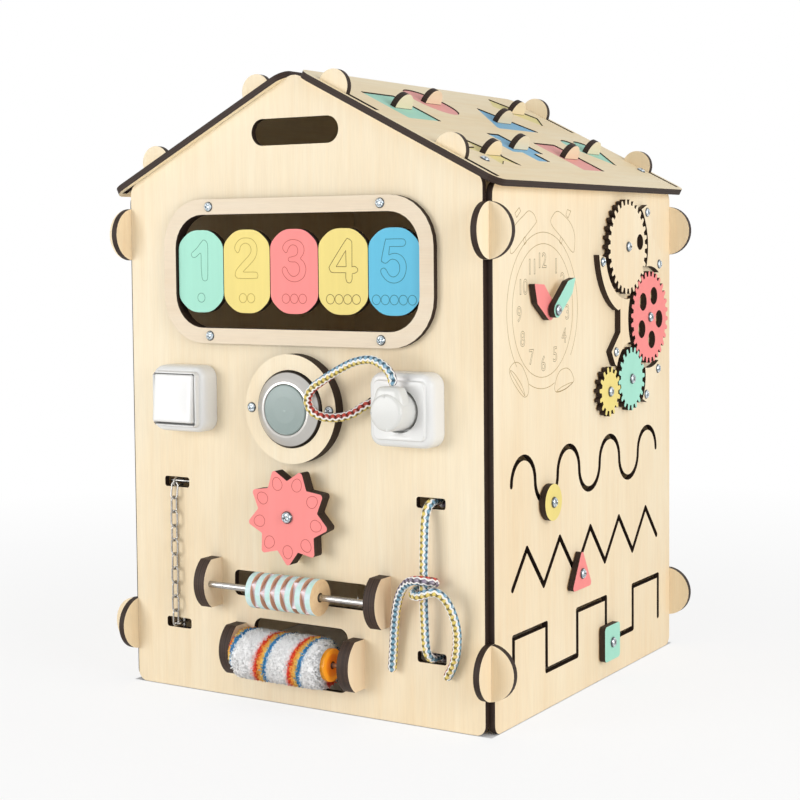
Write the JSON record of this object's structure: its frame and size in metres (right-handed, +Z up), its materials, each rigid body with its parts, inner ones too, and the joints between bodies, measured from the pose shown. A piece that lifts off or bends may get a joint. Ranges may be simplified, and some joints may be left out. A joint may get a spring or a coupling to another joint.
{
  "type": "busy board house",
  "caption": "Plywood busy-board house with spinning number plates, switch, lamp, plug, star wheel, chain, knotted rope, rollers, clock, gear train, sliding tracks and a shape-puzzle roof.",
  "frame": {"origin": "on the floor, under the middle of the object's bounding box measured without its ropes and plug; the four walls stand on the plane Z = 0", "axes": "+X to the right along the front wall, +Y back from the front wall, +Z up"},
  "size_m": [0.4348, 0.4573, 0.5717],
  "materials": {
    "birch": "bare laser-cut birch plywood, matt, burnt brown edges",
    "mint_paint": "mint matt paint on plywood",
    "coral_paint": "coral matt paint on plywood",
    "yellow_paint": "pale yellow matt paint on plywood",
    "blue_paint": "light blue matt paint on plywood",
    "zinc_steel": "zinc-plated steel",
    "white_plastic": "white semi-gloss plastic",
    "silver_plastic": "silver lacquered plastic",
    "button_plastic": "grey-green satin plastic",
    "braided_rope": "braided cord with coloured flecks",
    "roller_pile": "shaggy woven pile, coloured stripes",
    "core_plastic": "plastic tube",
    "orange_plastic": "orange plastic"
  },
  "bodies": {
    "house": {"front_panel": "birch", "back_panel": "birch", "left_panel": "birch", "right_panel": "birch", "roof_right": "birch", "roof_left": "birch", "roof_backing": "birch", "window_frame": "birch", "number_rod": "zinc_steel", "switch_box": "white_plastic", "lamp_ring": "birch", "lamp_housing": "silver_plastic", "socket_box": "white_plastic", "plug_rope": "braided_rope", "star_spacer": "birch", "chain": "zinc_steel", "chain_pins": "zinc_steel", "spool_brackets": "birch", "spool_rod": "zinc_steel", "roller_brackets": "birch", "roller_rod": "zinc_steel", "main_rope": "braided_rope", "tied_rope": "braided_rope", "gear_guards": "birch", "wood_screws": "zinc_steel", "pivot_bolts": "zinc_steel"},
    "plate_1": {"number_plate_1": "mint_paint"},
    "plate_2": {"number_plate_2": "yellow_paint"},
    "plate_3": {"number_plate_3": "coral_paint"},
    "plate_4": {"number_plate_4": "yellow_paint"},
    "plate_5": {"number_plate_5": "blue_paint"},
    "rocker": {"switch_rocker": "white_plastic"},
    "button": {"lamp_button": "button_plastic"},
    "plug": {"plug": "white_plastic"},
    "star": {"star_wheel": "coral_paint"},
    "spool": {"spool": "mint_paint"},
    "roller": {"roller_core": "core_plastic", "roller_nap": "roller_pile", "roller_caps": "orange_plastic"},
    "hour": {"hour_hand": "coral_paint"},
    "minute": {"minute_hand": "mint_paint"},
    "plain_gear": {"plain_gear": "birch"},
    "coral_gear": {"coral_gear": "coral_paint"},
    "mint_gear": {"mint_gear": "mint_paint"},
    "yellow_gear": {"yellow_gear": "yellow_paint"},
    "disc": {"disc_knob": "yellow_paint", "disc_bolt": "zinc_steel"},
    "triangle": {"triangle_knob": "coral_paint", "triangle_bolt": "zinc_steel"},
    "square": {"square_knob": "mint_paint", "square_bolt": "zinc_steel"},
    "tile_square": {"tile_square": "mint_paint"},
    "tile_circle": {"tile_circle": "coral_paint"},
    "tile_oblong": {"tile_oblong": "yellow_paint"},
    "tile_triangle": {"tile_triangle": "blue_paint"},
    "tile_star": {"tile_star": "yellow_paint"},
    "tile_cross": {"tile_cross": "blue_paint"},
    "tile_block": {"tile_block": "coral_paint"},
    "tile_heart": {"tile_heart": "mint_paint"}
  },
  "joints": [
    {"name": "plate_1_spin", "type": "hinge", "parent": "house", "child": "plate_1", "pos_m": [0, -0.18605, 0.3933], "axis": [1, 0, 0], "continuous": true},
    {"name": "plate_2_spin", "type": "hinge", "parent": "house", "child": "plate_2", "pos_m": [0, -0.18605, 0.3933], "axis": [1, 0, 0], "continuous": true},
    {"name": "plate_3_spin", "type": "hinge", "parent": "house", "child": "plate_3", "pos_m": [0, -0.18605, 0.3933], "axis": [1, 0, 0], "continuous": true},
    {"name": "plate_4_spin", "type": "hinge", "parent": "house", "child": "plate_4", "pos_m": [0, -0.18605, 0.3933], "axis": [1, 0, 0], "continuous": true},
    {"name": "plate_5_spin", "type": "hinge", "parent": "house", "child": "plate_5", "pos_m": [0, -0.18605, 0.3933], "axis": [1, 0, 0], "continuous": true},
    {"name": "rocker_flip", "type": "hinge", "parent": "house", "child": "rocker", "pos_m": [-0.1213, -0.20205, 0.276], "axis": [1, 0, 0], "range_deg": [0, 10]},
    {"name": "lamp_press", "type": "slide", "parent": "house", "child": "button", "axis": [0, 1, 0], "range_m": [0, 0.004], "stiffness_N_per_m": 400},
    {"name": "plug_pull", "type": "slide", "parent": "house", "child": "plug", "axis": [0, -1, 0], "range_m": [0, 0.04]},
    {"name": "star_spin", "type": "hinge", "parent": "house", "child": "star", "pos_m": [0, -0.18605, 0.1748], "axis": [0, 1, 0], "continuous": true},
    {"name": "spool_spin", "type": "hinge", "parent": "house", "child": "spool", "pos_m": [0, -0.20405, 0.1062], "axis": [1, 0, 0], "continuous": true},
    {"name": "roller_spin", "type": "hinge", "parent": "house", "child": "roller", "pos_m": [0, -0.20405, 0.0475], "axis": [1, 0, 0], "continuous": true},
    {"name": "hour_turn", "type": "hinge", "parent": "house", "child": "hour", "pos_m": [0.196, -0.08665, 0.3578], "axis": [1, 0, 0], "continuous": true},
    {"name": "minute_turn", "type": "hinge", "parent": "house", "child": "minute", "pos_m": [0.196, -0.08665, 0.3578], "axis": [1, 0, 0], "continuous": true},
    {"name": "plain_gear_spin", "type": "hinge", "parent": "house", "child": "plain_gear", "pos_m": [0.2, 0.08055, 0.4123], "axis": [1, 0, 0], "continuous": true},
    {"name": "coral_gear_spin", "type": "hinge", "parent": "house", "child": "coral_gear", "pos_m": [0.2, 0.13327, 0.34234], "axis": [1, 0, 0], "continuous": true},
    {"name": "mint_gear_spin", "type": "hinge", "parent": "house", "child": "mint_gear", "pos_m": [0.2, 0.08913, 0.28419], "axis": [1, 0, 0], "continuous": true},
    {"name": "yellow_gear_spin", "type": "hinge", "parent": "house", "child": "yellow_gear", "pos_m": [0.2, 0.03875, 0.27567], "axis": [1, 0, 0], "continuous": true},
    {"name": "disc_swing", "type": "hinge", "parent": "house", "child": "disc", "pos_m": [0.2, -0.08169, 0.209], "axis": [1, 0, 0], "range_deg": [-80, 80]},
    {"name": "triangle_slide", "type": "slide", "parent": "house", "child": "triangle", "axis": [0, 0.6476, 0.7619], "range_m": [0, 0.0498]},
    {"name": "square_slide", "type": "slide", "parent": "house", "child": "square", "axis": [0, 1, 0], "range_m": [0, 0.0632]},
    {"name": "lift_square", "type": "slide", "parent": "house", "child": "tile_square", "axis": [0.454, 0, 0.891], "range_m": [0, 0.04]},
    {"name": "lift_circle", "type": "slide", "parent": "house", "child": "tile_circle", "axis": [0.454, 0, 0.891], "range_m": [0, 0.04]},
    {"name": "lift_oblong", "type": "slide", "parent": "house", "child": "tile_oblong", "axis": [0.454, 0, 0.891], "range_m": [0, 0.04]},
    {"name": "lift_triangle", "type": "slide", "parent": "house", "child": "tile_triangle", "axis": [0.454, 0, 0.891], "range_m": [0, 0.04]},
    {"name": "lift_star", "type": "slide", "parent": "house", "child": "tile_star", "axis": [0.454, 0, 0.891], "range_m": [0, 0.04]},
    {"name": "lift_cross", "type": "slide", "parent": "house", "child": "tile_cross", "axis": [0.454, 0, 0.891], "range_m": [0, 0.04]},
    {"name": "lift_block", "type": "slide", "parent": "house", "child": "tile_block", "axis": [0.454, 0, 0.891], "range_m": [0, 0.04]},
    {"name": "lift_heart", "type": "slide", "parent": "house", "child": "tile_heart", "axis": [0.454, 0, 0.891], "range_m": [0, 0.04]}
  ],
  "couplings": [
    {"joint": "coral_gear_spin", "follows": "plain_gear_spin", "ratio": -1},
    {"joint": "mint_gear_spin", "follows": "plain_gear_spin", "ratio": 1.5},
    {"joint": "yellow_gear_spin", "follows": "plain_gear_spin", "ratio": -2}
  ]
}
